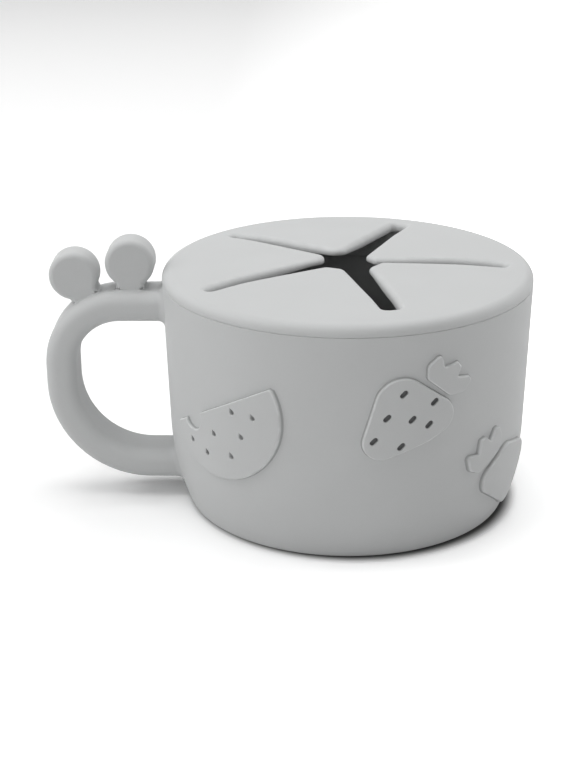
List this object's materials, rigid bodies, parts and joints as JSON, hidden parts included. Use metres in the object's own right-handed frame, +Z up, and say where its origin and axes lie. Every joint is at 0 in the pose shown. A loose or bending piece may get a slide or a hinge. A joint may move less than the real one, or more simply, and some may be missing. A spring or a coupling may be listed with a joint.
{
  "type": "toddler snack container",
  "caption": "Soft round snack cup for a toddler, with a loop handle, raised fruit on its wall and a push-in lid of bending flaps that lets a hand in and keeps snacks from spilling.",
  "frame": {"origin": "centre of the cup's flat base, on the surface it stands on", "axes": "+Z up along the cup's axis, -X towards the handle, -Y towards the viewer and the fruit reliefs"},
  "size_m": [0.1192, 0.0901, 0.0662],
  "materials": {
    "cup_body": "matte",
    "handle": "matte",
    "handle_knob_inner": "matte",
    "handle_knob_outer": "matte",
    "melon_relief": "matte",
    "strawberry_front": "matte",
    "strawberry_front_crown": "matte",
    "strawberry_side": "matte",
    "strawberry_side_crown": "matte",
    "lid_ring": "matte",
    "flap_1": "matte",
    "flap_2": "matte",
    "flap_3": "matte",
    "flap_4": "matte",
    "flap_5": "matte"
  },
  "bodies": {
    "cup": {"cup_body": "cup_body", "handle": "handle", "handle_knob_inner": "handle_knob_inner", "handle_knob_outer": "handle_knob_outer", "melon_relief": "melon_relief", "strawberry_front": "strawberry_front", "strawberry_front_crown": "strawberry_front_crown", "strawberry_side": "strawberry_side", "strawberry_side_crown": "strawberry_side_crown"},
    "lid": {"lid_ring": "lid_ring"},
    "flap_1": {"flap_1": "flap_1"},
    "flap_2": {"flap_2": "flap_2"},
    "flap_3": {"flap_3": "flap_3"},
    "flap_4": {"flap_4": "flap_4"},
    "flap_5": {"flap_5": "flap_5"}
  },
  "joints": [
    {"name": "lid_lift", "type": "slide", "parent": "cup", "child": "lid", "axis": [0, 0, 1], "range_m": [0, 0.06]},
    {"name": "flap_1_bend", "type": "hinge", "parent": "lid", "child": "flap_1", "pos_m": [0.02374, 0.01484, 0.05852], "axis": [-0.5299, 0.848, 0], "range_deg": [-70, 55], "stiffness_Nm_per_rad": 0.012},
    {"name": "flap_2_bend", "type": "hinge", "parent": "lid", "child": "flap_2", "pos_m": [-0.00677, 0.02717, 0.05852], "axis": [-0.9703, -0.2419, 0], "range_deg": [-70, 55], "stiffness_Nm_per_rad": 0.012},
    {"name": "flap_3_bend", "type": "hinge", "parent": "lid", "child": "flap_3", "pos_m": [-0.02793, 0.00195, 0.05852], "axis": [-0.0698, -0.9976, 0], "range_deg": [-70, 55], "stiffness_Nm_per_rad": 0.012},
    {"name": "flap_4_bend", "type": "hinge", "parent": "lid", "child": "flap_4", "pos_m": [-0.01049, -0.02596, 0.05852], "axis": [0.9272, -0.3746, 0], "range_deg": [-70, 55], "stiffness_Nm_per_rad": 0.012},
    {"name": "flap_5_bend", "type": "hinge", "parent": "lid", "child": "flap_5", "pos_m": [0.02145, -0.018, 0.05852], "axis": [0.6428, 0.766, 0], "range_deg": [-70, 55], "stiffness_Nm_per_rad": 0.012}
  ]
}
